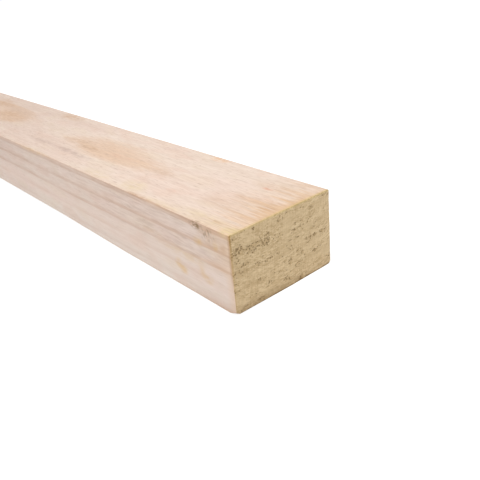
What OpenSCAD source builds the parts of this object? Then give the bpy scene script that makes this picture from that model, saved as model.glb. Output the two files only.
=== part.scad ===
// Gauged softwood framing timber: one sawn stick with eased long edges and square-cut ends.
// It lies on its wide face. The length runs along X, the width along Y and the thickness along Z.
// The origin is at the middle of the underside.

/* [Stock] */
// Length of the stick as it is sold
plank_length = 2400; // [600:100:6000]
// Width of the section, across the wide faces
plank_width = 70; // [35:1:290]
// Thickness of the section, between the wide faces
plank_thickness = 45; // [19:1:100]

/* [Arrises] */
// Radius eased on the two lower long edges
lower_arris_radius = 2.5; // [0.5:0.1:6]
// Radius eased on the two upper long edges
upper_arris_radius = 1.5; // [0.5:0.1:6]

/* [Hidden] */

// Pale pinkish pine
timber_colour = [0.90, 0.82, 0.74];
// Sides of each full arris circle
arris_facets = 64;
// The two long edges of a face, as signs of Y
edge_sides = [-1, 1];

half_width = plank_width / 2;
// Centre heights of the arris arcs
lower_arris_height = lower_arris_radius;
upper_arris_height = plank_thickness - upper_arris_radius;

// Outline between the arcs: each corner is cut across from one end of its arc to the other.
module straight_outline() {
    polygon([
        [-half_width + lower_arris_radius, 0],
        [half_width - lower_arris_radius, 0],
        [half_width, lower_arris_height],
        [half_width, upper_arris_height],
        [half_width - upper_arris_radius, plank_thickness],
        [-half_width + upper_arris_radius, plank_thickness],
        [-half_width, upper_arris_height],
        [-half_width, lower_arris_height]
    ]);
}

// A pair of round arrises at one height, one on each narrow face.
module arris_pair(radius, height) {
    for (side = edge_sides)
        translate([side * (half_width - radius), height])
            circle(r = radius, $fn = arris_facets);
}

// The section as it leaves the planer, width across and thickness up.
module section() {
    straight_outline();
    arris_pair(lower_arris_radius, lower_arris_height);
    arris_pair(upper_arris_radius, upper_arris_height);
}

// The stick: the section run along X and docked square at both ends.
module plank() {
    color(timber_colour)
        rotate([90, 0, 90])
            linear_extrude(height = plank_length, center = true)
                section();
}

plank();
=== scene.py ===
"""A stick of sawn softwood framing timber, dressed for a plain studio picture.

The stick lies on its wide face. Its length runs along X, with the pictured end at the high end, its width
runs along Y and its thickness along Z. Everything is in metres, and the origin is at the middle of the
underside. One field of growth rings shapes the relief and colours every face, so the bands on the edges,
the islands on the wide faces and the arcs on the ends all belong to the same tree.
"""

import logging
import math
from dataclasses import dataclass
from enum import Enum

import bpy
import numpy as np
from mathutils import Matrix, Vector


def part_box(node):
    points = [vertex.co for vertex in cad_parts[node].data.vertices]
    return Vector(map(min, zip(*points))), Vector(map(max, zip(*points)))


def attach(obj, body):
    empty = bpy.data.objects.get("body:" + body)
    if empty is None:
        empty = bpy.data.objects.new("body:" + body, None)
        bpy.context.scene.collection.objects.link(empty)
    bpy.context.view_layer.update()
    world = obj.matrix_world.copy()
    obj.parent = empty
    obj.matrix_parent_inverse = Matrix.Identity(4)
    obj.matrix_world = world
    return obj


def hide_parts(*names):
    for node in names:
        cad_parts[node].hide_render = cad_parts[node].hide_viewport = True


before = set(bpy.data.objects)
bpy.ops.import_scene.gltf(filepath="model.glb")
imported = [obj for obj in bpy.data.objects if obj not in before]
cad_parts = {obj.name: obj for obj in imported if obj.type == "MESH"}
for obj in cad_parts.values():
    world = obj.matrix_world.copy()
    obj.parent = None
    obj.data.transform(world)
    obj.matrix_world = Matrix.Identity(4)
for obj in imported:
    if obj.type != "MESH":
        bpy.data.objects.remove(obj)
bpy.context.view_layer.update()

log = logging.getLogger("timber")

MM = 0.001
PICTURE_SIDE = 480
SENSOR_WIDTH = 36.0

Colour = tuple[float, float, float, float]
Triple = tuple[float, float, float]
# A span is two values between which something changes. A ramp adds how strong it gets.
Span = tuple[float, float]
Ramp = tuple[float, float, float]

SEED_SHIFT: Triple = (7.31, 3.17, 5.73)
WHITE: Colour = (1.0, 1.0, 1.0, 1.0)


def in_mm(*lengths: float) -> tuple[float, ...]:
    """Turn lengths in millimetres into metres.

    Args:
        lengths: Lengths in millimetres.

    Returns:
        The same lengths in metres.
    """
    return tuple(length * MM for length in lengths)


def srgb(red: int, green: int, blue: int) -> Colour:
    """Turn a colour as a screen shows it into the linear colour that a shader takes.

    Args:
        red: Red from 0 to 255.
        green: Green from 0 to 255.
        blue: Blue from 0 to 255.

    Returns:
        Linear red, green and blue, with an alpha of 1.
    """
    shares = (level / 255 for level in (red, green, blue))
    linear = (share / 12.92 if share <= 0.04045 else ((share + 0.055) / 1.055) ** 2.4 for share in shares)
    return *linear, 1.0


class Wire:
    """One output of a node: a value, a place or a colour. Each operation adds nodes to the same sheet."""

    def __init__(self, sheet: "NodeSheet", socket: bpy.types.NodeSocket) -> None:
        """Keep the socket and the sheet that it lies on."""
        self.sheet = sheet
        self.socket = socket

    def __add__(self, other: "Wire | float") -> "Wire":
        """Add a value."""
        return self.sheet.math("ADD", self, other)

    def __radd__(self, other: float) -> "Wire":
        """Add this to a number."""
        return self.sheet.math("ADD", other, self)

    def __sub__(self, other: "Wire | float") -> "Wire":
        """Take a value away."""
        return self.sheet.math("SUBTRACT", self, other)

    def __rsub__(self, other: float) -> "Wire":
        """Take this away from a number."""
        return self.sheet.math("SUBTRACT", other, self)

    def __mul__(self, other: "Wire | float") -> "Wire":
        """Multiply by a value."""
        return self.sheet.math("MULTIPLY", self, other)

    def __truediv__(self, other: "Wire | float") -> "Wire":
        """Divide by a value."""
        return self.sheet.math("DIVIDE", self, other)

    def __pow__(self, other: "Wire | float") -> "Wire":
        """Raise to a power."""
        return self.sheet.math("POWER", self, other)

    def __abs__(self) -> "Wire":
        """Drop the sign."""
        return self.sheet.math("ABSOLUTE", self)

    def root(self) -> "Wire":
        """Take the square root."""
        return self.sheet.math("SQRT", self)

    def sign(self) -> "Wire":
        """Give 1 above zero and -1 below it."""
        return self.sheet.math("SIGN", self)

    def fraction(self) -> "Wire":
        """Keep what is past the last whole number."""
        return self.sheet.math("FRACT", self)

    def least(self, other: "Wire | float") -> "Wire":
        """Take the smaller of two values."""
        return self.sheet.math("MINIMUM", self, other)

    def most(self, other: "Wire | float") -> "Wire":
        """Take the larger of two values."""
        return self.sheet.math("MAXIMUM", self, other)

    def above(self, limit: "Wire | float") -> "Wire":
        """Give 1 where this is over a limit and 0 elsewhere."""
        return self.sheet.math("GREATER_THAN", self, limit)

    def eased(self, low: "Wire | float", high: "Wire | float", start: float, stop: float) -> "Wire":
        """Go smoothly from one result to another.

        Args:
            low: The value up to which the first result holds.
            high: The value from which the second one holds.
            start: The first result.
            stop: The second result.

        Returns:
            The result.
        """
        settings = {"interpolation_type": "SMOOTHSTEP"}
        sockets = {"Value": self, "From Min": low, "From Max": high, "To Min": start, "To Max": stop}
        return self.sheet.node("ShaderNodeMapRange", settings, sockets)["Result"]

    def rise(self, low: "Wire | float", high: "Wire | float", share: float = 1.0) -> "Wire":
        """Climb smoothly from 0 at one value to a share at another."""
        return self.eased(low, high, 0.0, share)

    def fall(self, low: "Wire | float", high: "Wire | float", share: float = 1.0) -> "Wire":
        """Drop smoothly from a share at one value to 0 at another."""
        return self.eased(low, high, share, 0.0)

    def between(self, low: float, high: float) -> "Wire":
        """Turn 0 into one value and 1 into another."""
        return low + self * (high - low)

    def angle(self, other: "Wire") -> "Wire":
        """Find the angle whose tangent is this over another value."""
        return self.sheet.math("ARCTAN2", self, other)

    def axes(self) -> tuple["Wire", "Wire", "Wire"]:
        """Split a vector into its three parts."""
        parts = self.sheet.node("ShaderNodeSeparateXYZ", sockets={"Vector": self})
        return parts["X"], parts["Y"], parts["Z"]

    def moved(self, shift: "Wire") -> "Wire":
        """Add a shift to a place."""
        return self.sheet.vector_math("ADD", self, shift)["Vector"]

    def stretched(self, size: Triple, seed: int) -> "Wire":
        """Bring a place to the scale of a pattern with features of a size, set apart by a seed."""
        shift = tuple(seed * step for step in SEED_SHIFT)
        return self.sheet.vector_math("MULTIPLY_ADD", self, tuple(1 / part for part in size), shift)["Vector"]

    def noise(self, pattern: "Pattern") -> "Wire":
        """Read a cloudy pattern at a place in metres.

        Args:
            pattern: What it is like.

        Returns:
            The pattern's value, from 0 to 1 with its mean at about a half.
        """
        sockets = {
            "Vector": self.stretched(pattern.size, pattern.seed),
            "Scale": 1.0,
            "Detail": pattern.detail,
            "Roughness": pattern.rough,
        }
        cloud = self.sheet.node("ShaderNodeTexNoise", {"noise_dimensions": "3D"}, sockets)["Fac"]
        return cloud.rise(*pattern.span) if pattern.span else cloud

    def cells(self, size: Triple, seed: int) -> tuple["Wire", "Wire"]:
        """Look for the nearest of many points scattered over the plane of a place's first two axes.

        Args:
            size: Mean gap between points along each axis, in metres.
            seed: Number that sets this scatter apart from the others.

        Returns:
            How far the nearest point is, in gaps, and a number from 0 to 1 that the point carries.
        """
        settings = {"voronoi_dimensions": "2D", "feature": "F1"}
        sockets = {"Vector": self.stretched(size, seed), "Scale": 1.0}
        made = self.sheet.node("ShaderNodeTexVoronoi", settings, sockets)
        return made["Distance"], made["Color"].axes()[0]

    def spot(self, centre: Triple, half_size: Triple, core: float) -> "Wire":
        """Find whether a place lies in a soft egg-shaped region.

        Args:
            centre: Middle of the region.
            half_size: Its reach along each axis.
            core: Share of the reach that is fully marked.

        Returns:
            A share that is 1 in the core and fades to 0 at the reach.
        """
        offset = self.sheet.vector_math("SUBTRACT", self, centre)["Vector"]
        reach = self.sheet.vector_math("DIVIDE", offset, half_size)["Vector"]
        return self.sheet.vector_math("LENGTH", reach)["Value"].fall(core, 1.0)

    def mixed(self, other: "Wire | Colour", share: "Wire") -> "Wire":
        """Lay a share of another colour over this one."""
        return self.sheet.blend(share, self, other)

    def tinted(self, tint: Triple, share: "Wire") -> "Wire":
        """Lay a share of a see-through tint over this colour."""
        return self.mixed(self.sheet.vector_math("MULTIPLY", self, tint)["Vector"], share)


@dataclass(frozen=True)
class Pattern:
    """A cloudy pattern, by the length of one feature along each axis.

    The seed sets it apart from the other patterns, detail is how many finer layers lie on the first one and
    rough is how strong each of them is. Where there is a span, the values between its ends run from 0 to 1.
    """

    size: Triple
    seed: int
    detail: float = 2.0
    rough: float = 0.5
    span: Span | None = None


class NodeSheet:
    """A node tree of a material or of a shape, with one way to add any node."""

    def __init__(self, tree: bpy.types.NodeTree) -> None:
        """Start on an empty tree."""
        self.tree = tree
        self.tree.nodes.clear()

    def node(
        self, kind: str, settings: dict[str, object] | None = None, sockets: dict[str, object] | None = None
    ) -> dict[str, Wire]:
        """Add a node.

        Args:
            kind: Blender's name for the type of node.
            settings: The node's own properties, set before its sockets.
            sockets: Values or wires for its inputs, by socket identifier.

        Returns:
            The node's outputs, by socket identifier.
        """
        made = self.tree.nodes.new(kind)
        for name, value in (settings or {}).items():
            setattr(made, name, value)
        inputs = {socket.identifier: socket for socket in made.inputs}
        for name, value in (sockets or {}).items():
            if isinstance(value, Wire):
                self.tree.links.new(value.socket, inputs[name])
            else:
                inputs[name].default_value = value
        return {socket.identifier: Wire(self, socket) for socket in made.outputs}

    def math(self, operation: str, *terms: "Wire | float") -> Wire:
        """Add a Math node for one or two values and give its result."""
        names = ("Value", "Value_001")
        return self.node("ShaderNodeMath", {"operation": operation}, dict(zip(names, terms)))["Value"]

    def vector_math(self, operation: str, *terms: "Wire | Triple") -> dict[str, Wire]:
        """Add a Vector Math node and give its outputs, the vector and the value."""
        names = ("Vector", "Vector_001", "Vector_002")
        return self.node("ShaderNodeVectorMath", {"operation": operation}, dict(zip(names, terms)))

    def vector(self, x: "Wire | float", y: "Wire | float", z: "Wire | float") -> Wire:
        """Join three parts into a vector."""
        return self.node("ShaderNodeCombineXYZ", sockets={"X": x, "Y": y, "Z": z})["Vector"]

    def scaled(self, vector: "Wire | Triple", factor: "Wire | float") -> Wire:
        """Multiply a vector by one value."""
        sockets = {"Vector": vector, "Scale": factor}
        return self.node("ShaderNodeVectorMath", {"operation": "SCALE"}, sockets)["Vector"]

    def blend(self, share: "Wire | float", first: "Wire | Colour", second: "Wire | Colour") -> Wire:
        """Lay a share of a second colour over a first one."""
        sockets = {"Factor_Float": share, "A_Color": first, "B_Color": second}
        return self.node("ShaderNodeMix", {"data_type": "RGBA"}, sockets)["Result_Color"]


class Face(Enum):
    """The six faces of the stick, by the way that each one looks."""

    UPPER = (0, 0, 1)
    UNDER = (0, 0, -1)
    LEFT = (0, -1, 0)
    RIGHT = (0, 1, 0)
    NEAR_END = (1, 0, 0)
    FAR_END = (-1, 0, 0)


@dataclass(frozen=True)
class StickSize:
    """The stick's size, as the frame gives it."""

    length: float
    width: float
    thickness: float

    @classmethod
    def of_node(cls, node: str) -> "StickSize":
        """Read the size of a node of the frame."""
        low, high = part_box(node)
        return cls(*(high - low))

    @property
    def half_length(self) -> float:
        """Distance from the middle to an end."""
        return self.length / 2

    def place(self, from_end: float, across: float, height: float) -> Triple:
        """Find a point by its distance from the pictured end."""
        return self.half_length - from_end, across, height


@dataclass(frozen=True)
class Swell:
    """A place where the growth layers dip, so that a wide face cuts into the next one."""

    from_end: float
    half_length: float
    dip: float


@dataclass(frozen=True)
class RingTone:
    """A stretch of radius over which the late wood and the thin line at its outside change in strength."""

    start: float
    stop: float
    change: float
    line_change: float


@dataclass(frozen=True)
class RingPlace:
    """Where a place lies among the rings: share of its ring, radius, and place with the rings unrolled."""

    part: Wire
    radius: Wire
    unrolled: Wire


@dataclass(frozen=True)
class GrowthRings:
    """The rings of the tree, about a pith that lies above the stick."""

    size: StickSize
    pith_across: float = -3.0 * MM
    pith_height: float = 143.6 * MM
    first_radius: float = 98.7 * MM
    mean_radius: float = 125 * MM
    spacing: float = 9.0 * MM
    lie: float = 0.8 * MM
    right_dip: float = 2.4 * MM
    slow: Pattern = Pattern(in_mm(420, 90, 90), seed=1, detail=1.0)
    wander: Ramp = in_mm(480, 768, 7.0)
    fine: Pattern = Pattern(in_mm(60, 12, 12), seed=2)
    ripple: float = 0.7 * MM
    frayed: Pattern = Pattern(in_mm(14, 0.9, 0.9), seed=3)
    swells: tuple[Swell, ...] = (
        Swell(*in_mm(163, 140, 2.0)),
        Swell(*in_mm(388, 150, 3.2)),
        Swell(*in_mm(655, 150, 2.4)),
        Swell(*in_mm(915, 170, 3.0)),
        Swell(*in_mm(1180, 130, 2.2)),
        Swell(*in_mm(1430, 165, 2.9)),
        Swell(*in_mm(1735, 150, 2.3)),
        Swell(*in_mm(1990, 160, 2.8)),
        Swell(*in_mm(2255, 125, 2.1)),
    )
    swell_edge: Ramp = (*in_mm(16, 32), 0.7)
    tones: tuple[RingTone, ...] = (
        RingTone(*in_mm(100, 110), -0.50, 0.65),
        RingTone(*in_mm(126, 131), -0.20, -0.50),
        RingTone(*in_mm(142, 147), 0.20, 0.10),
    )
    band_part: Span = (0.44, 0.86)
    line_part: Span = (0.66, 0.86)
    pale_part: Span = (0.87, 1.0)
    sapwood_radius: Span = in_mm(122, 129)

    def locate(self, place: Wire, fray: float = 0.0) -> RingPlace:
        """Find where a place lies among the rings.

        Args:
            place: The place in the stick.
            fray: How far the fibres pull the edge of a ring about, in metres.

        Returns:
            The share of its ring from 0 at the inside to 1 at the outside, its radius, and the place with
            the rings laid out straight.
        """
        x, y, z = place.axes()
        across = y - self.pith_across
        down = self.pith_height - z
        from_end = self.size.half_length - x
        slow = place.noise(self.slow) - 0.5
        fine = place.noise(self.fine) - 0.5
        sway = slow * from_end.rise(*self.wander)
        sway = sway + fine * self.ripple + self.lie - y.rise(0.0, self.size.width / 2, self.right_dip)
        if fray:
            sway = sway + (place.noise(self.frayed) - 0.5) * fray
        middle = 1.0 - abs(across).rise(*self.swell_edge)
        for swell in self.swells:
            gap = abs(from_end - swell.from_end)
            sway = sway - gap.fall(0.0, swell.half_length, swell.dip) * middle
        radius = (across * across + down * down).root() + sway
        angle = across.angle(down)
        part = ((radius - self.first_radius) / self.spacing).fraction()
        return RingPlace(part, radius, place.sheet.vector(angle * self.mean_radius, radius, x))

    def latewood(self, ring: RingPlace) -> Wire:
        """Darken slowly through a ring and pale again near its outside.

        Args:
            ring: Where a place lies among the rings.

        Returns:
            The share of dense late wood.
        """
        strength: Wire | float = 1.0
        line_strength: Wire | float = 0.0
        for tone in self.tones:
            reached = ring.radius.rise(tone.start, tone.stop)
            strength = strength + reached * tone.change
            line_strength = line_strength + reached * tone.line_change
        pale = ring.part.rise(*self.pale_part)
        band = ring.part.rise(*self.band_part) - pale
        line = ring.part.rise(*self.line_part) - pale
        return band * strength + line * line_strength

    def sapwood(self, ring: RingPlace) -> Wire:
        """Give the share of pale sapwood, which lies in the outer rings."""
        return ring.radius.rise(*self.sapwood_radius)


@dataclass(frozen=True)
class Cluster:
    """A patch of the end where the saw has pulled out many fibres."""

    across: float
    height: float
    half_width: float
    half_height: float
    density: float


@dataclass(frozen=True)
class EndPits:
    """Small holes in the end grain, in patches and chains that follow the rings."""

    size: StickSize
    gap: Triple = in_mm(1.20, 0.88, 1000)
    seed: int = 12
    mouth: Span = (0.12, 0.56)
    choice: Span = (0.0, 0.5)
    patch: Pattern = Pattern(in_mm(8, 4, 40), seed=11, span=(0.40, 0.70))
    patch_density: Span = (0.08, 0.48)
    cluster_depth: float = 4 * MM
    cluster_core: float = 0.3
    clusters: tuple[Cluster, ...] = tuple(
        Cluster(*in_mm(*row[:4]), row[4])
        for row in (
            (-30.0, 35.0, 6.0, 4.2, 1.10),
            (-24.5, 35.2, 3.6, 2.4, 0.80),
            (-20.0, 31.8, 4.6, 3.0, 0.85),
            (-12.6, 33.0, 6.8, 4.0, 1.00),
            (-5.5, 32.6, 5.0, 3.0, 0.55),
            (-11.0, 36.6, 3.8, 1.5, 0.80),
            (-20.0, 33.2, 17.0, 4.0, 0.70),
            (-32.5, 42.0, 4.0, 3.0, 0.55),
            (-19.5, 43.0, 1.8, 1.2, 1.00),
            (7.4, 31.2, 3.2, 1.8, 0.90),
            (12.0, 32.2, 5.0, 1.4, 0.85),
            (20.5, 39.2, 2.4, 1.5, 1.00),
            (28.5, 42.2, 3.4, 1.6, 0.30),
            (33.6, 42.6, 1.4, 1.8, 0.80),
            (30.0, 33.6, 5.0, 1.4, 0.55),
            (-28.0, 26.4, 6.0, 2.0, 0.85),
            (-31.0, 23.0, 6.0, 4.0, 0.50),
            (-18.5, 23.2, 3.0, 1.8, 0.75),
            (-10.0, 23.2, 5.0, 1.5, 0.65),
            (-14.5, 25.4, 1.8, 2.0, 0.70),
            (4.6, 21.8, 4.4, 2.6, 0.75),
            (16.6, 23.1, 2.0, 1.5, 1.15),
            (19.8, 23.1, 1.8, 1.3, 1.20),
            (23.0, 22.8, 3.0, 1.6, 0.95),
            (28.6, 23.2, 2.6, 1.4, 1.05),
            (31.4, 23.1, 1.8, 1.2, 1.05),
            (11.0, 18.4, 5.0, 1.5, 0.95),
            (13.4, 16.4, 2.0, 1.6, 0.95),
            (23.4, 13.7, 4.0, 1.7, 1.10),
            (4.0, 14.6, 3.0, 2.8, 0.70),
            (9.4, 10.2, 3.8, 3.2, 0.75),
            (-18.0, 13.4, 6.0, 2.4, 0.55),
            (-9.4, 10.2, 1.8, 1.4, 0.90),
            (1.2, 5.8, 4.0, 1.9, 0.95),
            (11.6, 1.6, 2.6, 1.4, 1.00),
            (-30.5, 29.5, 4.0, 2.0, 0.65),
            (-11.0, 8.6, 5.5, 2.8, 0.75),
            (0.5, 17.4, 4.0, 2.6, 0.65),
            (-4.0, 23.2, 1.8, 1.4, 0.90),
            (8.0, 26.6, 6.5, 1.5, 0.60),
            (8.6, 35.0, 2.6, 1.6, 0.60),
            (21.6, 27.6, 3.4, 2.2, 0.60),
            (17.5, 19.6, 3.6, 1.8, 0.70),
            (27.4, 15.2, 3.4, 1.5, 0.85),
            (-3.4, 30.2, 2.6, 1.4, 0.95),
            (-2.5, 41.0, 3.4, 1.8, 0.60),
        )
    )

    def crowding(self, place: Wire, ring: RingPlace) -> Wire:
        """Find how thickly the pits lie.

        Args:
            place: The place on the end.
            ring: Where that place lies among the rings.

        Returns:
            The share of pits that are open there.
        """
        x, y, z = place.axes()
        either_end = place.sheet.vector(abs(x), y * x.sign(), z)
        density = ring.unrolled.noise(self.patch).between(*self.patch_density)
        for cluster in self.clusters:
            centre = (self.size.half_length, cluster.across, cluster.height)
            reach = (self.cluster_depth, cluster.half_width, cluster.half_height)
            share = either_end.spot(centre, reach, self.cluster_core)
            density = density.most(share * cluster.density)
        return density

    def share(self, ring: RingPlace, crowding: Wire) -> Wire:
        """Find the pits.

        Args:
            ring: Where a place lies among the rings.
            crowding: How thickly the pits lie there.

        Returns:
            A share that is 1 at the bottom of a pit and 0 on the sawn surface.
        """
        distance, draw = ring.unrolled.cells(self.gap, self.seed)
        chosen = (crowding - draw).rise(*self.choice)
        return distance.fall(*self.mouth) * chosen


@dataclass(frozen=True)
class Knock:
    """A flat knocked off at the lower left corner of the pictured end, by its reach along each edge."""

    size: StickSize
    along: float
    across: float
    up: float

    def push(self, place: Wire) -> Wire:
        """Find how far each point is pushed in.

        Args:
            place: The place of each point.

        Returns:
            The way from each point to the flat, or nothing behind it.
        """
        x, y, z = place.axes()
        lean = (-1 / self.along, 1 / self.across, 1 / self.up)
        past = (self.size.half_length - x) / self.along + (y + self.size.width / 2) / self.across
        depth = (1.0 - past - z / self.up).most(0.0)
        return place.sheet.scaled(lean, depth / sum(part * part for part in lean))


@dataclass(frozen=True)
class Tear:
    """Fibres torn out and soiled just under the left upper arris, close to the pictured end."""

    size: StickSize
    root_from_end: float = 25.2 * MM
    root_below_top: float = 2.1 * MM
    root_reach: Triple = in_mm(7.0, 3.0, 3.0)
    root_grit: Pattern = Pattern(in_mm(2.4, 3.0, 1.1), seed=21, detail=3.0, span=(0.34, 0.62))
    scratch_from_end: float = 17.5 * MM
    scratch_below_top: float = 4.2 * MM
    scratch_reach: Triple = in_mm(8.5, 3.0, 6.0)
    scratch_grit: Pattern = Pattern(in_mm(1.1, 3.0, 3.2), seed=22, span=(0.42, 0.66))
    scratch_share: float = 0.55
    core: float = 0.2

    def share(self, place: Wire) -> Wire:
        """Find the torn place.

        Args:
            place: The place on the stick.

        Returns:
            A share that is 1 where the tear is deepest.
        """
        left, top = -self.size.width / 2, self.size.thickness
        centre = self.size.place(self.root_from_end, left, top - self.root_below_top)
        root = place.spot(centre, self.root_reach, self.core) * place.noise(self.root_grit)
        centre = self.size.place(self.scratch_from_end, left, top - self.scratch_below_top)
        scratches = place.spot(centre, self.scratch_reach, self.core)
        scratches = scratches * place.noise(self.scratch_grit)
        return root.most(scratches * self.scratch_share)


class Finish:
    """What the finishes share: a material with its sheet of nodes and its shader."""

    sheen: float = 0.2

    def begin(self, name: str) -> tuple[bpy.types.Material, NodeSheet, Wire]:
        """Start a material.

        Args:
            name: The material's name.

        Returns:
            The material, its sheet, and the place on the object in metres.
        """
        material = bpy.data.materials.new(name)
        material.use_nodes = True
        sheet = NodeSheet(material.node_tree)
        return material, sheet, sheet.node("ShaderNodeTexCoord")["Object"]

    def end(self, colour: Wire, roughness: Wire, height: Wire, depth: float) -> None:
        """Join the colour, the roughness and the fine relief to the shader.

        Args:
            colour: Base colour.
            roughness: Roughness.
            height: Fine relief, from 0 to 1.
            depth: What a height of 1 measures, in metres.
        """
        sheet = colour.sheet
        normal = sheet.node("ShaderNodeBump", sockets={"Strength": 1.0, "Distance": depth, "Height": height})
        sockets = {
            "Base Color": colour,
            "Roughness": roughness,
            "Specular IOR Level": self.sheen,
            "Normal": normal["Normal"],
        }
        shader = sheet.node("ShaderNodeBsdfPrincipled", sockets=sockets)
        sheet.node("ShaderNodeOutputMaterial", sockets={"Surface": shader["BSDF"]})


@dataclass(frozen=True)
class Mark:
    """A stain or a spot of resin: its place from the pictured end, its reach, its colour and strength."""

    place: Triple
    half_size: Triple
    colour: Colour
    strength: float


@dataclass(frozen=True)
class SoakedEnds:
    """The brown that the long faces soak up along the fibres from their ends, with its rims: a pale painted
    highlight and a brown brim.
    """

    size: StickSize
    brown: Colour = srgb(238, 194, 144)
    highlight_fringe: Colour = srgb(238, 210, 150)
    brim: Colour = srgb(200, 160, 112)
    streaks: Pattern = Pattern(in_mm(45, 2.2, 2.2), seed=36, rough=0.6, span=(0.46, 0.64))
    least_reach: float = 7 * MM
    streak_reach: float = 38 * MM
    thirst_reach: float = 30 * MM
    share: Span = (0.30, 0.44)
    broad: Ramp = (*in_mm(12, 42), 0.16)
    heart: float = 1.25
    heart_right: Ramp = (*in_mm(14, 32), 0.8)
    heart_left: Ramp = (*in_mm(6, 26), 0.5)
    fringe_ramp: Ramp = (*in_mm(0.4, 2.2), 0.7)
    brim_ramp: Ramp = (*in_mm(0.4, 2.4), 0.6)
    brim_height: Span = in_mm(12, 28)

    def over(self, place: Wire, thirst: Wire, narrow: Wire, colour: Wire) -> Wire:
        """Lay the brown over a colour.

        Args:
            place: The place on the stick.
            thirst: How far the wood of the narrow faces soaks up brown.
            narrow: 1 on the two narrow faces and 0 on the wide ones.
            colour: The colour so far.

        Returns:
            The colour with browned ends.
        """
        x, y, z = place.axes()
        end_gap = self.size.half_length - abs(x)
        wide = 1.0 - narrow
        heart = self.heart - y.rise(*self.heart_right) - (0.0 - y).rise(*self.heart_left)
        reach = self.least_reach + place.noise(self.streaks) * wide * self.streak_reach
        reach = reach + narrow * thirst * self.thirst_reach
        soaked = (end_gap / reach).fall(0.0, 1.0) * wide.between(*self.share)
        soaked = soaked + end_gap.fall(*self.broad) * wide
        colour = colour.mixed(self.brown, soaked * (narrow + wide * heart))
        # Painted highlight: a pale straw line on the wide faces right at each end, where broken fibres catch
        # the light.
        colour = colour.mixed(self.highlight_fringe, end_gap.fall(*self.fringe_ramp) * wide)
        brim = end_gap.fall(*self.brim_ramp) * narrow * z.rise(*self.brim_height)
        return colour.mixed(self.brim, brim)


@dataclass(frozen=True)
class SoiledAndShadedArrises:
    """The soil that handling leaves along the arrises of the narrow faces; on the lower arris it is partly
    painted shade.
    """

    size: StickSize
    soil: Colour = srgb(202, 158, 124)
    wicks: Pattern = Pattern(in_mm(240, 4.0, 4.0), seed=35, detail=3.0, rough=0.6, span=(0.34, 0.68))
    reach: Span = in_mm(20, 190)
    upper_line: Span = in_mm(0.6, 1.8)
    upper_line_share: Span = (0.25, 0.37)
    upper_band: Span = in_mm(0.5, 5.0)
    upper_band_share: Span = (0.12, 0.40)
    lower_line: Ramp = (*in_mm(0.6, 2.4), 0.2)
    lower_band: Ramp = (*in_mm(1.5, 6.5), 0.4)
    lower_reach: Span = in_mm(10, 60)

    def over(self, place: Wire, narrow: Wire, colour: Wire) -> Wire:
        """Lay the soil, with painted shade on the lower arris, over a colour.

        Args:
            place: The place on the stick.
            narrow: 1 on the two narrow faces and 0 on the wide ones.
            colour: The colour so far.

        Returns:
            The colour with soiled arrises and painted shade on the lower arris.
        """
        x, _, z = place.axes()
        end_gap = self.size.half_length - abs(x)
        below_top = self.size.thickness - z
        wick = place.noise(self.wicks)
        near = end_gap.fall(*self.reach)
        upper = below_top.fall(*self.upper_line) * near.between(*self.upper_line_share)
        upper = upper + below_top.fall(*self.upper_band) * wick.between(*self.upper_band_share) * near
        # Soil and painted shade: the down-facing lower arris is darkened, more widely near the ends.
        lower = z.fall(*self.lower_line) + z.fall(*self.lower_band) * end_gap.fall(*self.lower_reach)
        return colour.mixed(self.soil, (upper + lower) * narrow)


@dataclass(frozen=True)
class Smears:
    """Short grey-brown streaks that dull the upper half of the narrow faces, more so near the ends."""

    size: StickSize
    grime: Colour = srgb(190, 156, 134)
    streaks: Pattern = Pattern(in_mm(15, 1.5, 1.5), seed=30, detail=3.0, rough=0.6, span=(0.44, 0.68))
    far_loss: Ramp = (*in_mm(60, 200), 0.7)
    height: Ramp = (*in_mm(20, 26), 0.24)

    def over(self, place: Wire, narrow: Wire, colour: Wire) -> Wire:
        """Lay the streaks over a colour.

        Args:
            place: The place on the stick.
            narrow: 1 on the two narrow faces and 0 on the wide ones.
            colour: The colour so far.

        Returns:
            The smeared colour.
        """
        x, _, z = place.axes()
        near = 1.0 - (self.size.half_length - abs(x)).rise(*self.far_loss)
        share = place.noise(self.streaks) * z.rise(*self.height) * near * narrow
        return colour.mixed(self.grime, share)


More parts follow.
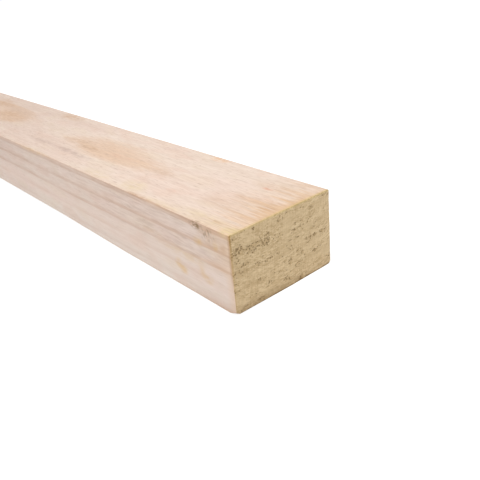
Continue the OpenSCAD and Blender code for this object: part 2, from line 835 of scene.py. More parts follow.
@dataclass(frozen=True)
class SawnFace(Finish):
    """The long faces: pale sawn pine, soft growth bands, fine fibres, stains, browned ends, painted light and
    shade.
    """

    size: StickSize
    rings: GrowthRings
    tear: Tear
    marks: tuple[Mark, ...]
    earlywood: Colour = srgb(254, 235, 220)
    latewood: Colour = srgb(244, 213, 187)
    narrow_late: Colour = srgb(238, 210, 190)
    rosy: Colour = srgb(248, 217, 198)
    strawy: Colour = srgb(249, 229, 200)
    blush: Colour = srgb(253, 229, 215)
    far_grey: Colour = srgb(206, 186, 175)
    canal: Colour = srgb(186, 146, 120)
    soil: Colour = srgb(140, 112, 78)
    fibre_tint: Triple = (0.86, 0.82, 0.78)
    narrow_shade_tint: Triple = (0.92, 0.925, 0.95)
    foot_bounce_tint: Triple = (0.975, 1.012, 1.022)
    fibres: Pattern = Pattern(in_mm(7, 1.0, 1.0), seed=31)
    streaks: Pattern = Pattern(in_mm(110, 3.2, 3.2), seed=32)
    clouds: Pattern = Pattern(in_mm(70, 20, 20), seed=33)
    canals: Pattern = Pattern(in_mm(6.5, 0.65, 0.65), seed=34, detail=1.0, span=(0.60, 0.74))
    ragged: Pattern = Pattern(in_mm(6, 2.4, 2.4), seed=37, detail=3.0, span=(0.3, 0.6))
    hues: Pattern = Pattern(in_mm(26, 11, 11), seed=38, detail=1.0)
    band_fade: Pattern = Pattern(in_mm(60, 9, 42), seed=39, span=(0.3, 0.7))
    fray: float = 1.3 * MM
    narrow_start: Span = in_mm(0.05, 0.45)
    foot_height: Span = in_mm(5, 14)
    fade_share: Span = (0.2, 0.8)
    narrow_loss: float = 0.3
    late_share: Span = (0.6, 1.4)
    blush_ramp: Ramp = (0.42, 0.66, 0.6)
    rosy_ramp: Ramp = (0.52, 0.72, 0.36)
    strawy_ramp: Ramp = (0.52, 0.72, 0.20)
    grey_reach: Span = in_mm(60, 400)
    grey_share: Span = (0.14, 0.52)
    sapwood_guard: float = 0.7
    canal_share: Span = (0.36, 0.16)
    torn_share: float = 0.8
    lively_reach: Span = in_mm(10, 45)
    dark_base: float = 0.25
    fibre_ramp: Ramp = (0.3, 0.7, 1.0)
    fibre_share: Span = (0.50, 0.85)
    streak_ramp: Ramp = (0.3, 0.7, 0.30)
    sapwood_calm: float = 0.3
    narrow_calm: float = 0.2
    mean_roughness: float = 0.80
    fibre_roughness: float = 0.3
    torn_roughness: float = 0.1
    fibre_relief: float = 0.7
    late_relief: float = 0.3
    canal_relief: float = 0.4
    torn_relief: float = 0.3
    relief_depth: float = 0.10 * MM
    mark_core: float = 0.15
    mark_share: Span = (0.2, 1.1)

    def material(self) -> bpy.types.Material:
        """Make the material of the long faces.

        Returns:
            The material.
        """
        material, sheet, place = self.begin("sawn_face")
        x, _, z = place.axes()
        half = self.size.thickness / 2
        narrow = (half - abs(z - half)).rise(*self.narrow_start)
        fibre = place.noise(self.fibres)
        streak = place.noise(self.streaks)
        cloud = place.noise(self.clouds)
        ring = self.rings.locate(place, self.fray)
        fade = ring.unrolled.noise(self.band_fade) - 0.5
        late = self.rings.latewood(ring)
        late = late * (1.0 + fade * narrow.between(*self.fade_share) - narrow * self.narrow_loss)
        sapwood = self.rings.sapwood(ring)
        late_colour = sheet.blend(narrow, self.latewood, self.narrow_late)
        colour = self.paled(place, cloud)
        colour = colour.mixed(late_colour, late * streak.between(*self.late_share))
        # Greyer farther from the pictured end, in broad clouds, and less so on the sapwood.
        greyed = (self.size.half_length - x).rise(*self.grey_reach) * cloud.between(*self.grey_share)
        colour = colour.mixed(self.far_grey, greyed * (1.0 - sapwood * self.sapwood_guard))
        canals = place.noise(self.canals)
        colour = colour.mixed(self.canal, canals * narrow.between(*self.canal_share))
        colour = Smears(self.size).over(place, narrow, colour)
        # Painted shade: the narrow faces are tinted darker and greyer than the wide ones, for the weaker
        # light on the sides.
        colour = colour.tinted(self.narrow_shade_tint, narrow)
        # Painted light: the narrow faces turn a little cooler near the floor, for light bounced up from the
        # white floor.
        colour = colour.tinted(self.foot_bounce_tint, narrow * z.fall(*self.foot_height))
        thirst = (0.5 + late) * (1.0 - sapwood)
        colour = SoakedEnds(self.size).over(place, thirst, narrow, colour)
        colour = SoiledAndShadedArrises(self.size).over(place, narrow, colour)
        colour = self.marked(place, colour)
        torn = self.tear.share(place)
        colour = colour.mixed(self.soil, torn * self.torn_share)
        lively = (self.size.half_length - abs(x)).fall(*self.lively_reach) * (1.0 - narrow)
        dark = self.dark_base + (0.5 - fibre.rise(*self.fibre_ramp)) * lively.between(*self.fibre_share)
        calm = 1.0 - sapwood * self.sapwood_calm - narrow * self.narrow_calm
        colour = colour.tinted(self.fibre_tint, (dark + streak.fall(*self.streak_ramp)) * calm)
        roughness = self.mean_roughness + (fibre - 0.5) * self.fibre_roughness + torn * self.torn_roughness
        height = fibre * self.fibre_relief + late * self.late_relief
        height = height - canals * self.canal_relief - torn * self.torn_relief
        self.end(colour, roughness, height, self.relief_depth)
        return material

    def paled(self, place: Wire, cloud: Wire) -> Wire:
        """Colour the early wood, a little rosier or more like straw from place to place.

        Args:
            place: The place on the stick.
            cloud: A broad cloudy pattern.

        Returns:
            The colour of the early wood.
        """
        hue = place.noise(self.hues)
        colour = place.sheet.blend(cloud.rise(*self.blush_ramp), self.earlywood, self.blush)
        colour = colour.mixed(self.rosy, hue.rise(*self.rosy_ramp))
        return colour.mixed(self.strawy, (1.0 - hue).rise(*self.strawy_ramp))

    def marked(self, place: Wire, colour: Wire) -> Wire:
        """Lay the stains and resin spots over the colour.

        Args:
            place: The place on the stick.
            colour: The colour so far.

        Returns:
            The colour with its marks.
        """
        ragged = place.noise(self.ragged).between(*self.mark_share)
        for mark in self.marks:
            share = place.spot(self.size.place(*mark.place), mark.half_size, self.mark_core)
            colour = colour.mixed(mark.colour, share * ragged * mark.strength)
        return colour


@dataclass(frozen=True)
class EndEdges:
    """The edges of an end: soil and painted shade at the foot, a painted highlight at the top, an orange line
    at the left.
    """

    size: StickSize
    foot_soil_and_shade: Colour = srgb(150, 120, 78)
    highlight_fringe: Colour = srgb(234, 210, 152)
    line: Colour = srgb(200, 162, 106)
    ragged: Pattern = Pattern(in_mm(4, 2.5, 2.5), seed=44)
    foot_line: Span = in_mm(0.4, 2.2)
    foot_line_fade: Ramp = (0.3, 1.0, 0.7)
    foot_band: Span = in_mm(1.0, 7.5)
    foot_band_rag: Span = (0.2, 0.65)
    foot_band_share: Span = (0.20, 0.55)
    foot_band_loss: Ramp = (*in_mm(-12, 28), 0.75)
    fringe_start: float = 0.3 * MM
    fringe_stop: Span = in_mm(0.7, 2.1)
    fringe_across: Span = in_mm(-12, 4)
    fringe_share: Span = (0.62, 0.85)
    line_reach: Span = in_mm(0.4, 1.6)
    line_middle: Span = in_mm(12, 28)
    line_share: Span = (0.25, 0.55)
    line_top: Ramp = (*in_mm(36, 43), 0.35)

    def over(self, place: Wire, colour: Wire) -> Wire:
        """Lay the edges over a colour.

        Args:
            place: The place on the end.
            colour: The colour so far.

        Returns:
            The colour with its edges.
        """
        _, y, z = place.axes()
        ragged = place.noise(self.ragged)
        # Soil and painted shade: a dark ragged line along the bottom edge of the end, and a darker band above
        # it that fades to the right.
        foot_soil_and_shade = (z / ragged.between(*self.foot_line)).fall(*self.foot_line_fade)
        band_share = ragged.rise(*self.foot_band_rag).between(*self.foot_band_share)
        band_share = band_share * (1.0 - y.rise(*self.foot_band_loss))
        colour = colour.mixed(self.foot_soil_and_shade, foot_soil_and_shade + z.fall(*self.foot_band) * band_share)
        # Painted highlight: a pale straw fringe along the top edge of the end, where broken fibres catch the
        # light.
        highlight_fringe = (self.size.thickness - z).fall(self.fringe_start, ragged.between(*self.fringe_stop))
        highlight_fringe = highlight_fringe * y.rise(*self.fringe_across).between(*self.fringe_share)
        colour = colour.mixed(self.highlight_fringe, highlight_fringe)
        line_share = z.rise(*self.line_middle).between(*self.line_share) + z.rise(*self.line_top)
        line = (y + self.size.width / 2).fall(*self.line_reach) * line_share
        return colour.mixed(self.line, line)


@dataclass(frozen=True)
class EndGrain(Finish):
    """The sawn ends: khaki end grain, pits of pulled-out fibres painted with shade, saw scratches and browned
    edges.
    """

    size: StickSize
    rings: GrowthRings
    pits: EndPits
    grain: Colour = srgb(233, 208, 168)
    late_grain: Colour = srgb(219, 193, 153)
    pit_shade: Colour = srgb(118, 87, 38)
    speck_tint: Triple = (0.72, 0.675, 0.60)
    specks: Pattern = Pattern(in_mm(2.7, 0.85, 5), seed=41)
    flow_bands: Pattern = Pattern(in_mm(9.0, 2.6, 20), seed=42)
    scratches: Pattern = Pattern(in_mm(5, 0.5, 9), seed=43, detail=1.0)
    coarse: Pattern = Pattern(in_mm(13, 5, 40), seed=46, span=(0.38, 0.62))
    grit_gap: Triple = in_mm(1.4, 0.64, 1000)
    grit_seed: int = 45
    grit_size: Span = (0.2, 0.8)
    late_share: float = 0.4
    pit_share: float = 0.64
    coarse_share: Span = (0.4, 1.2)
    calm_across: Span = in_mm(-20, 5)
    calm_height: Ramp = (*in_mm(12, 24), 0.2)
    dark_base: float = 0.40
    speck_share: float = 1.4
    grit_share: float = 1.2
    flow_share: float = 1.25
    scratch_share: float = 0.7
    crowded_shade_share: float = 0.4
    left_share: float = 0.15
    mean_roughness: float = 0.88
    speck_roughness: float = 0.15
    speck_relief: float = 0.6
    scratch_relief: float = 0.3
    relief_depth: float = 0.22 * MM

    def material(self) -> bpy.types.Material:
        """Make the material of the two ends.

        Returns:
            The material.
        """
        material, sheet, place = self.begin("end_grain")
        _, y, z = place.axes()
        ring = self.rings.locate(place)
        late = self.rings.latewood(ring)
        crowding = self.pits.crowding(place, ring)
        pits = self.pits.share(ring, crowding)
        speck = ring.unrolled.noise(self.specks)
        flow = ring.unrolled.noise(self.flow_bands)
        gap, draw = ring.unrolled.cells(self.grit_gap, self.grit_seed)
        grit = (draw - 0.5) * gap.fall(*self.grit_size)
        scratch = place.noise(self.scratches)
        colour = sheet.blend(late * self.late_share, self.grain, self.late_grain)
        # Painted shade: the pits are laid dark brown, for the shade inside the holes.
        colour = colour.mixed(self.pit_shade, pits * self.pit_share)
        colour = EndEdges(self.size).over(place, colour)
        coarse = ring.unrolled.noise(self.coarse).between(*self.coarse_share)
        coarse = coarse * (1.0 - y.fall(*self.calm_across) * z.fall(*self.calm_height))
        dark = self.dark_base + ((0.5 - speck) * self.speck_share + grit * self.grit_share) * coarse
        dark = dark + (0.5 - flow) * self.flow_share + (0.5 - scratch) * self.scratch_share
        # Painted shade: the end is also darkened where the pits crowd together.
        dark = dark + crowding * self.crowded_shade_share - y / self.size.width * self.left_share
        colour = colour.tinted(self.speck_tint, dark)
        roughness = self.mean_roughness + (speck - 0.5) * self.speck_roughness
        height = speck * self.speck_relief + scratch * self.scratch_relief - pits
        self.end(colour, roughness, height, self.relief_depth)
        return material


@dataclass(frozen=True)
class StickShape:
    """The stick's mesh: a gauged section with eased arrises, raised grain, torn fibres and pitted ends."""

    size: StickSize
    rings: GrowthRings
    pits: EndPits
    tear: Tear
    knocks: tuple[Knock, ...]
    lower_arris: float = 2.5 * MM
    upper_arris: float = 1.0 * MM
    arris_pattern: Pattern = Pattern(in_mm(46, 30, 30), seed=51, detail=3.0)
    arris_waver: float = 0.5
    crisp_share: float = 0.4
    crisp_length: float = 100 * MM
    crisp_fade: float = 1.6
    right_lean: float = 0.8 * MM
    chip_from_end: float = 64 * MM
    chip_reach: Span = in_mm(2, 11)
    chip_size: float = 1.4 * MM
    fibres: Pattern = Pattern(in_mm(30, 1.6, 1.6), seed=52)
    early_share: float = 0.6
    fibre_share: float = 0.8
    grain_relief: float = 0.12 * MM
    pit_depth: float = 0.55 * MM
    tear_depth: float = 0.3 * MM
    saw_pattern: Pattern = Pattern(in_mm(9, 3, 14), seed=53)
    saw_waver: float = 0.25 * MM
    stations: int = 132
    points_across: int = 148
    points_up: int = 96
    even_share: float = 0.07
    crowding: float = 2.6
    outermost: float = 0.9998
    least_reach: float = 0.001 * MM
    end_mark: str = "end_face"

    def sizes(self) -> dict[str, float]:
        """Give the lengths that the tree takes as named inputs.

        Returns:
            Each length by the label of its input.
        """
        return {
            "Length": self.size.length,
            "Width": self.size.width,
            "Thickness": self.size.thickness,
            "Lower Arris": self.lower_arris,
            "Upper Arris": self.upper_arris,
            "Arris Waver": self.arris_waver,
            "Crisp Length": self.crisp_length,
            "Right Lean": self.right_lean,
            "Chip Place": self.chip_from_end,
            "Chip Size": self.chip_size,
            "Grain Relief": self.grain_relief,
            "Pit Depth": self.pit_depth,
            "Tear Depth": self.tear_depth,
            "Saw Waver": self.saw_waver,
        }

    def counts(self) -> dict[str, int]:
        """Give the numbers of points that the tree takes as named inputs."""
        return {"Stations": self.stations, "Points Across": self.points_across, "Points Up": self.points_up}

    def build(self, name: str, faces: bpy.types.Material, ends: bpy.types.Material) -> bpy.types.Object:
        """Make the stick as a plain mesh.

        Args:
            name: Name of the piece.
            faces: Material of the long faces.
            ends: Material of the ends.

        Returns:
            The finished piece, at the origin.
        """
        tree = bpy.data.node_groups.new("stick_shape", "GeometryNodeTree")
        finishes = {"Face Finish": faces, "End Finish": ends}
        values = {**self.sizes(), **self.counts(), **finishes}
        kinds = {float: "NodeSocketFloat", int: "NodeSocketInt", bpy.types.Material: "NodeSocketMaterial"}
        tree.interface.new_socket("Geometry", in_out="OUTPUT", socket_type="NodeSocketGeometry")
        names = {}
        for label, value in values.items():
            socket = tree.interface.new_socket(label, in_out="INPUT", socket_type=kinds[type(value)])
            names[label] = socket.identifier
        self.fill(tree, names)
        piece = bpy.data.objects.new(name, bpy.data.meshes.new(name + "_start"))
        bpy.context.scene.collection.objects.link(piece)
        modifier = piece.modifiers.new("shape", "NODES")
        modifier.node_group = tree
        for label, value in values.items():
            modifier[names[label]] = value
        return self.settled(piece, modifier, name)

    def settled(self, piece: bpy.types.Object, modifier: bpy.types.Modifier, name: str) -> bpy.types.Object:
        """Turn what the tree makes into the piece's own mesh and take the tree away.

        Args:
            piece: The object that carries the tree.
            modifier: The modifier that runs it.
            name: Name of the finished mesh.

        Returns:
            The same object with a plain mesh.
        """
        depsgraph = bpy.context.evaluated_depsgraph_get()
        mesh = bpy.data.meshes.new_from_object(piece.evaluated_get(depsgraph), depsgraph=depsgraph)
        mesh.name = name
        mesh.materials.pop(index=0)
        piece.modifiers.remove(modifier)
        start = piece.data
        piece.data = mesh
        bpy.data.meshes.remove(start)
        return piece

    def fill(self, tree: bpy.types.NodeTree, names: dict[str, str]) -> None:
        """Build the tree: a grid of points, rounded to the section, roughened, and given its materials.

        Args:
            tree: The empty tree.
            names: Identifier of each named input.
        """
        sheet = NodeSheet(tree)
        made = sheet.node("NodeGroupInput")
        given = {label: made[identifier] for label, identifier in names.items()}
        sockets = {
            "Size": sheet.vector(given["Length"], given["Width"], given["Thickness"]),
            "Vertices X": given["Stations"],
            "Vertices Y": given["Points Across"],
            "Vertices Z": given["Points Up"],
        }
        block = sheet.node("GeometryNodeMeshCube", sockets=sockets)["Mesh"]
        normal = sheet.node("GeometryNodeInputNormal")["Normal"].axes()
        settings = {"data_type": "BOOLEAN", "domain": "FACE"}
        sockets = {"Geometry": block, "Name": self.end_mark, "Value": abs(normal[0]).above(0.5)}
        block = sheet.node("GeometryNodeStoreNamedAttribute", settings, sockets)["Geometry"]
        block = sheet.node("GeometryNodeSetShadeSmooth", sockets={"Geometry": block})["Geometry"]
        sockets = {"Geometry": block, "Selection": self.rim(sheet, given), "Shade Smooth": False}
        block = sheet.node("GeometryNodeSetShadeSmooth", {"domain": "EDGE"}, sockets)["Geometry"]
        place = self.roughened(sheet, given, *self.rounded(sheet, given))
        moved = sheet.node("GeometryNodeSetPosition", sockets={"Geometry": block, "Position": place})
        whole = sheet.node("GeometryNodeRealizeInstances", sockets={"Geometry": moved["Geometry"]})
        sockets = {"Geometry": whole["Geometry"], "Material": given["Face Finish"]}
        dressed = sheet.node("GeometryNodeSetMaterial", sockets=sockets)
        settings = {"data_type": "BOOLEAN"}
        ends = sheet.node("GeometryNodeInputNamedAttribute", settings, {"Name": self.end_mark})["Attribute"]
        sockets = {"Geometry": dressed["Geometry"], "Selection": ends, "Material": given["End Finish"]}
        dressed = sheet.node("GeometryNodeSetMaterial", sockets=sockets)
        output = tree.interface.items_tree["Geometry"].identifier
        sheet.node("NodeGroupOutput", sockets={output: dressed["Geometry"]})

    def rim(self, sheet: NodeSheet, given: dict[str, Wire]) -> Wire:
        """Find the edges that go round the two ends, where the shading breaks.

        Args:
            sheet: Where the nodes are added.
            given: The named inputs.

        Returns:
            1 on those edges and 0 elsewhere.
        """
        x, y, z = sheet.node("GeometryNodeInputPosition")["Position"].axes()
        out = (abs(y) / given["Width"]).most(abs(z) / given["Thickness"])
        return (abs(x) / given["Length"]).least(out).above(self.outermost / 2)

    def rounded(self, sheet: NodeSheet, given: dict[str, Wire]) -> tuple[Wire, Wire, Wire]:
        """Space the stations out along the length and ease the four long arrises.

        Args:
            sheet: Where the nodes are added.
            given: The named inputs.

        Returns:
            The place of each point, the way out of the section there, and which end it lies on.
        """
        x, y, z = sheet.node("GeometryNodeInputPosition")["Position"].axes()
        half_length = given["Length"] * 0.5
        half_width = given["Width"] * 0.5
        half_thickness = given["Thickness"] * 0.5
        end = abs(x).above(half_length * self.outermost) * x.sign()
        step = 0.5 - x / given["Length"]
        run = step * self.even_share + step ** self.crowding * (1 - self.even_share)
        along = half_length - run * given["Length"]
        waver = sheet.vector(along, y, z).noise(self.arris_pattern) - 0.5
        lower = given["Lower Arris"]
        radius = lower + (given["Upper Arris"] - lower) * z.above(0.0)
        radius = radius * (1.0 + waver * given["Arris Waver"] * 2.0)
        worn = (half_length - along).rise(given["Crisp Length"], given["Crisp Length"] * self.crisp_fade)
        left = 1.0 - y.above(0.0)
        radius = radius * (1.0 + left * (worn - 1.0) * (1.0 - self.crisp_share))
        chip = abs(half_length - along - given["Chip Place"]).fall(*self.chip_reach)
        radius = radius + chip * left * z.above(0.0) * given["Chip Size"]
        over = (abs(y) - (half_width - radius)).most(0.0)
        past = (abs(z) - (half_thickness - radius)).most(0.0)
        deepest = over.most(past)
        reach = (over * over + past * past).root().most(self.least_reach)
        shrink = 1.0 - deepest / reach
        lean = y.above(0.0) * (half_thickness - z) / given["Thickness"] * given["Right Lean"]
        place = sheet.vector(
            along,
            y.sign() * (abs(y) - over * shrink) + lean,
            half_thickness + z.sign() * (abs(z) - past * shrink),
        )
        skin = deepest / radius / reach
        outward = sheet.vector(0.0, y.sign() * over * skin, z.sign() * past * skin)
        return place, outward, end

    def roughened(
        self, sheet: NodeSheet, given: dict[str, Wire], place: Wire, outward: Wire, end: Wire
    ) -> Wire:
        """Sink the soft wood and the tear, pit the ends and knock one corner in.

        Args:
            sheet: Where the nodes are added.
            given: The named inputs.
            place: The place of each point.
            outward: The way out of the section there.
            end: 1 on the pictured end, -1 on the far end and 0 elsewhere.

        Returns:
            The final place of each point.
        """
        ring = self.rings.locate(place)
        early = 1.0 - self.rings.latewood(ring)
        soft = early * self.early_share + place.noise(self.fibres) * self.fibre_share
        sunk = soft * given["Grain Relief"] + self.tear.share(place) * given["Tear Depth"]
        cut = place.noise(self.saw_pattern)
        pits = self.pits.share(ring, self.pits.crowding(place, ring))
        bitten = pits * given["Pit Depth"] + cut * given["Saw Waver"]
        place = place.moved(sheet.scaled(outward, 0.0 - sunk))
        place = place.moved(sheet.vector(0.0 - end * bitten, 0.0, 0.0))
        for knock in self.knocks:
            place = place.moved(knock.push(place))
        return place


@dataclass(frozen=True)
class Studio:
    """A white floor, a white surround, soft light and the camera."""

    size: StickSize
    floor_side: float = 24.0
    floor_colour: Colour = srgb(242, 242, 242)
    shadow_share: float = 0.32
    white_glow: float = 0.85
    surround_light: float = 0.50
    lamp_place: Triple = (1.8, -0.85, 2.9)
    lamp_side: float = 2.6
    lamp_power: float = 58.0
    focal_pixels: float = 559.5
    clip_start: float = 10 * MM
    camera_offset: Triple = in_mm(179.3, -175.65, 158.8)
    camera_yaw: float = 50.614
    camera_pitch: float = 27.037
    camera_roll: float = -5.343

    def build(self) -> bpy.types.Object:
        """Set up the studio.

        Returns:
            The floor.
        """
        scene = bpy.context.scene
        scene.view_settings.view_transform = "Standard"
        self.surround(scene)
        self.softbox("key_light")
        scene.camera = self.camera()
        return self.floor()

    def link(self, name: str, data: bpy.types.ID) -> bpy.types.Object:
        """Put an object into the scene.

        Args:
            name: Name of the object.
            data: Its mesh, lamp or lens.

        Returns:
            The object.
        """
        made = bpy.data.objects.new(name, data)
        bpy.context.scene.collection.objects.link(made)
        return made

    def seen_rays(self, sheet: NodeSheet) -> Wire:
        """Give 1 to rays that show the background and 0 to rays that carry light."""
        path = sheet.node("ShaderNodeLightPath")
        return path["Is Camera Ray"].most(path["Is Glossy Ray"]).most(path["Is Transmission Ray"])

    def surround(self, scene: bpy.types.Scene) -> None:
        """Make the surround white to look at and softer as a light.

        Args:
            scene: The scene that gets the surround.
        """
        world = bpy.data.worlds.new("surround")
        world.use_nodes = True
        sheet = NodeSheet(world.node_tree)
        strength = self.seen_rays(sheet).between(self.surround_light, 1.0)
        shader = sheet.node("ShaderNodeBackground", sockets={"Color": WHITE, "Strength": strength})
        sheet.node("ShaderNodeOutputWorld", sockets={"Surface": shader["Background"]})
        scene.world = world

    def softbox(self, name: str) -> None:
        """Hang a square lamp that faces the pictured half of the stick.

        Args:
            name: Name of the lamp.
        """
        lamp = bpy.data.lights.new(name, "AREA")
        lamp.size = self.lamp_side
        lamp.energy = self.lamp_power
        made = self.link(name, lamp)
        place = Vector(self.lamp_place)
        target = Vector((self.size.half_length / 2, 0.0, 0.0))
        made.location = place
        made.rotation_euler = (target - place).to_track_quat("-Z", "Y").to_euler()

    def camera(self) -> bpy.types.Object:
        """Stand the camera where the picture was taken from.

        Returns:
            The camera.
        """
        lens = bpy.data.cameras.new("camera")
        lens.sensor_width = SENSOR_WIDTH
        lens.lens = self.focal_pixels / PICTURE_SIDE * SENSOR_WIDTH
        lens.clip_start = self.clip_start
        made = self.link("camera", lens)
        yaw, pitch, roll = (math.radians(a) for a in (self.camera_yaw, self.camera_pitch, self.camera_roll))
        ahead = Vector(
            (-math.sin(yaw) * math.cos(pitch), math.cos(yaw) * math.cos(pitch), -math.sin(pitch))
        )
        right = Vector((math.cos(yaw), math.sin(yaw), 0.0))
        down = ahead.cross(right)
        level_right = right * math.cos(roll) - down * math.sin(roll)
        level_down = right * math.sin(roll) + down * math.cos(roll)
        turn = Matrix((level_right, -level_down, -ahead)).transposed()
        near_foot = Vector((self.size.half_length, 0.0, 0.0))
        made.matrix_world = Matrix.Translation(near_foot + Vector(self.camera_offset)) @ turn.to_4x4()
        return made

    def floor(self) -> bpy.types.Object:
        """Lay the floor.

        Returns:
            The floor.
        """
        half = self.floor_side / 2
        mesh = bpy.data.meshes.new("floor")
        corners = [(-half, -half, 0.0), (half, -half, 0.0), (half, half, 0.0), (-half, half, 0.0)]
        mesh.from_pydata(corners, [], [(0, 1, 2, 3)])
        material = bpy.data.materials.new("floor_white")
        material.use_nodes = True
        sheet = NodeSheet(material.node_tree)
        plain = sheet.node("ShaderNodeBsdfDiffuse", sockets={"Color": self.floor_colour})
        shaded = sheet.node("ShaderNodeBsdfDiffuse", sockets={"Color": (self.shadow_share,) * 3 + (1.0,)})
        glow = sheet.node("ShaderNodeEmission", sockets={"Strength": self.white_glow})
        sockets = {"Shader": shaded["BSDF"], "Shader_001": glow["Emission"]}
        shown = sheet.node("ShaderNodeAddShader", sockets=sockets)
        sockets = {"Fac": self.seen_rays(sheet), "Shader": plain["BSDF"], "Shader_001": shown["Shader"]}
        mixed = sheet.node("ShaderNodeMixShader", sockets=sockets)
        sheet.node("ShaderNodeOutputMaterial", sockets={"Surface": mixed["Shader"]})
        mesh.materials.append(material)
        return self.link("floor", mesh)


def marks_of(size: StickSize) -> tuple[Mark, ...]:
    """List the stains and resin spots on the pictured stretch.

    Each row has a place in millimetres, from the pictured end, across and up, then the reach along each of
    those ways, then the colour and its strength.

    Args:
        size: The stick's size.

    Returns:
        The marks.
    """
    top = size.thickness / MM
    left = -size.width / 2 / MM
    flat = 4
    resin = srgb(232, 196, 138)
    straw = srgb(240, 217, 168)
    slate = srgb(208, 182, 169)
    tan = srgb(220, 184, 152)
    rose = srgb(240, 188, 160)
    peach = srgb(246, 206, 170)
    brown = srgb(206, 164, 126)
    ochre = srgb(216, 168, 116)
    pale = srgb(250, 232, 216)
    rows = (
        (45, left, 14.6, 5, flat, 4.4, resin, 0.55),
        (41, left, 12.2, 5, flat, 4.6, resin, 0.60),
        (25, left, 16.8, 5, flat, 4.6, resin, 0.42),
        (20, left, 14.2, 6, flat, 4.4, resin, 0.50),
        (25, left, 34.5, 5, flat, 4, resin, 0.50),
        (11, left, 36.0, 3, flat, 4, resin, 0.45),
        (21, left, 29.0, 8, flat, 3, slate, 0.28),
        (17, left, 39.5, 11, flat, 6, tan, 0.40),
        (5, left, 36.5, 5, flat, 4, tan, 0.50),
        (68, left, 26.4, 17, flat, 2.6, tan, 0.35),
        (38, left, 22.2, 34, flat, 4.5, resin, 0.26),
        (2, -32, top, 9, 7.5, flat, straw, 0.80),
        (26, -29, top, 28, 7, flat, straw, 0.35),
        (93, -27, top, 16, 9, flat, straw, 0.36),
        (58, -33, top, 26, 4, flat, straw, 0.24),
        (130, -31, top, 24, 6, flat, straw, 0.28),
        (234, -20, top, 28, 5, flat, slate, 0.45),
        (194, -19.5, top, 27, 5, flat, slate, 0.55),
        (282, 29, top, 29, 9, flat, tan, 0.62),
        (184, -6.8, top, 24, 5, flat, tan, 0.62),
        (216, -4.2, top, 22, 6, flat, tan, 0.30),
        (404, 15, top, 42, 9, flat, tan, 0.55),
        (350, 0, top, 38, 12, flat, tan, 0.60),
        (98, -4.6, top, 18, 6, flat, tan, 0.42),
        (20, 0, top, 32, 6, flat, tan, 0.30),
        (24, 19, top, 24, 6, flat, tan, 0.30),
        (10, 30.5, top, 16, 6, flat, tan, 0.30),
        (218, left, 44.4, 45, 2.6, 2.6, resin, 0.25),
        (36, -13, top, 18, 9, flat, tan, 0.30),
        (26, 15.8, top, 6, 2.2, flat, rose, 0.75),
        (9, 5.2, top, 12, 1.6, flat, ochre, 0.50),
        (8, -3.6, top, 12, 1.6, flat, ochre, 0.60),
        (4, -0.8, top, 9, 1.6, flat, ochre, 0.40),
        (85, 31.4, top, 12, 4.6, flat, peach, 0.85),
        (69, -18, top, 6, 2.6, flat, rose, 0.35),
        (17, -28.3, top, 9, 1.1, flat, brown, 0.42),
        (78, -34.4, top, 17, 2.6, 1.6, brown, 0.52),
        (52, -34.4, top, 15, 2.2, 1.6, brown, 0.28),
        (172, 12.5, top, 36, 4.5, flat, pale, 0.35),
        (330, 20, top, 20, 5, flat, pale, 0.35),
        (204, -1, top, 18, 6.5, flat, tan, 0.35),
        (320, -2, top, 14, 8, flat, tan, 0.30),
        (330, -9.5, top, 18, 5, flat, tan, 0.45),
        (412, 22.5, top, 22, 5, flat, tan, 0.40),
        (145, -4, top, 20, 5, flat, rose, 0.16),
        (172, -20.5, top, 18, 4, flat, slate, 0.28),
    )
    return tuple(Mark(in_mm(*row[:3]), in_mm(*row[3:6]), *row[6:]) for row in rows)


def knocks_of(size: StickSize) -> tuple[Knock, ...]:
    """List the flats knocked off the corner: a small deep one, and a long one that skims the foot.

    Args:
        size: The stick's size.

    Returns:
        The flats.
    """
    return Knock(size, *in_mm(6.4, 3.8, 2.7)), Knock(size, *in_mm(1.2, 48, 1.2))


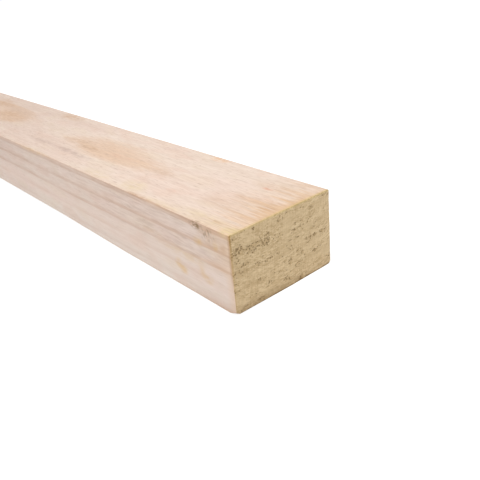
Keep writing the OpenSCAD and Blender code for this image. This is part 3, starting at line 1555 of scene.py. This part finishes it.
@dataclass(frozen=True)
class BakeSheet:
    """Lays the stick's faces out as strips on one square, the pictured stretch larger than the rest."""

    size: StickSize
    name: str = "OFBake"
    pictured_length: float = 560 * MM
    gap: float = 0.004
    pictured_rows: float = 0.46
    plain_rows: float = 0.33
    end_rows: float = 0.18
    end_width: float = 0.28
    far_end_start: float = 0.5
    top_edge: float = 0.998

    def read(
        self, source: bpy.types.bpy_prop_collection, what: str, kind: type, parts: int = 1
    ) -> np.ndarray:
        """Read one property of many items.

        Args:
            source: The items.
            what: The property's name.
            kind: The type of its numbers.
            parts: How many numbers it has.

        Returns:
            One row for each item, or one number where the property has just one.
        """
        values = np.empty(len(source) * parts, kind)
        source.foreach_get(what, values)
        return values.reshape(-1, parts) if parts > 1 else values

    def lay_out(self, mesh: bpy.types.Mesh) -> None:
        """Give a mesh its map.

        Args:
            mesh: The stick's mesh.
        """
        normals = self.read(mesh.polygons, "normal", np.float32, 3)
        centres = self.read(mesh.polygons, "center", np.float32, 3)
        ends = self.read(mesh.polygons, "material_index", np.int32)
        counts = self.read(mesh.polygons, "loop_total", np.int32)
        corners = self.read(mesh.loops, "vertex_index", np.int32)
        spots = self.read(mesh.vertices, "co", np.float32, 3)[corners]
        places = np.zeros((len(corners), 2), np.float32)
        wide = np.abs(normals[:, 2]) > np.abs(normals[:, 1])
        pictured = centres[:, 0] > self.size.half_length - self.pictured_length
        room = self.top_edge
        for stretch, rows in ((pictured, self.pictured_rows), (~pictured, self.plain_rows)):
            for face in (Face.UPPER, Face.LEFT, Face.RIGHT, Face.UNDER):
                axis = 2 if face.value[2] else 1
                across = 3 - axis
                facing = normals[:, axis] * face.value[axis] > 0
                chosen = (ends == 0) & stretch & facing & (wide == (axis == 2))
                span = (self.size.thickness, self.size.width)[axis == 2]
                height = rows * span / (2 * (self.size.width + self.size.thickness))
                box = (self.gap, room - height, 1 - 2 * self.gap, height - self.gap)
                self.place_strip(places, spots, np.repeat(chosen, counts), (0, across), box)
                room -= height
        for start, face in ((0.0, Face.NEAR_END), (self.far_end_start, Face.FAR_END)):
            chosen = (ends == 1) & (centres[:, 0] * face.value[0] > 0)
            box = (start + self.gap, room - self.end_rows, self.end_width, self.end_rows - self.gap)
            self.place_strip(places, spots, np.repeat(chosen, counts), (1, 2), box)
        layer = mesh.uv_layers.new(name=self.name)
        layer.data.foreach_set("uv", places.ravel())

    def place_strip(
        self,
        places: np.ndarray,
        spots: np.ndarray,
        chosen: np.ndarray,
        axes: tuple[int, int],
        box: tuple[float, float, float, float],
    ) -> None:
        """Fit some of the corners into a box on the square.

        Args:
            places: The map's place for each corner, which is filled in here.
            spots: Where each corner is on the stick.
            chosen: Which corners go into the box.
            axes: The two axes of the stick that the box shows.
            box: Its left, bottom, width and height.
        """
        left, bottom, width, height = box
        flat = spots[chosen][:, axes]
        low, high = flat.min(0), flat.max(0)
        places[chosen] = (flat - low) / (high - low) * (width, height) + (left, bottom)


def main() -> None:
    """Build the stick and its studio."""
    logging.basicConfig(level=logging.INFO, format="%(name)s: %(message)s")
    size = StickSize.of_node("plank")
    rings = GrowthRings(size)
    pits = EndPits(size)
    tear = Tear(size)
    faces = SawnFace(size, rings, tear, marks_of(size)).material()
    ends = EndGrain(size, rings, pits).material()
    stick = StickShape(size, rings, pits, tear, knocks_of(size)).build("sawn_plank", faces, ends)
    BakeSheet(size).lay_out(stick.data)
    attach(stick, "root")
    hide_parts("plank")
    log.info("%s: %d faces, %d points", stick.name, len(stick.data.polygons), len(stick.data.vertices))
    floor = Studio(size).build()
    log.info("%s: %.1f m square", floor.name, Studio.floor_side)


if __name__ == "__main__":
    main()
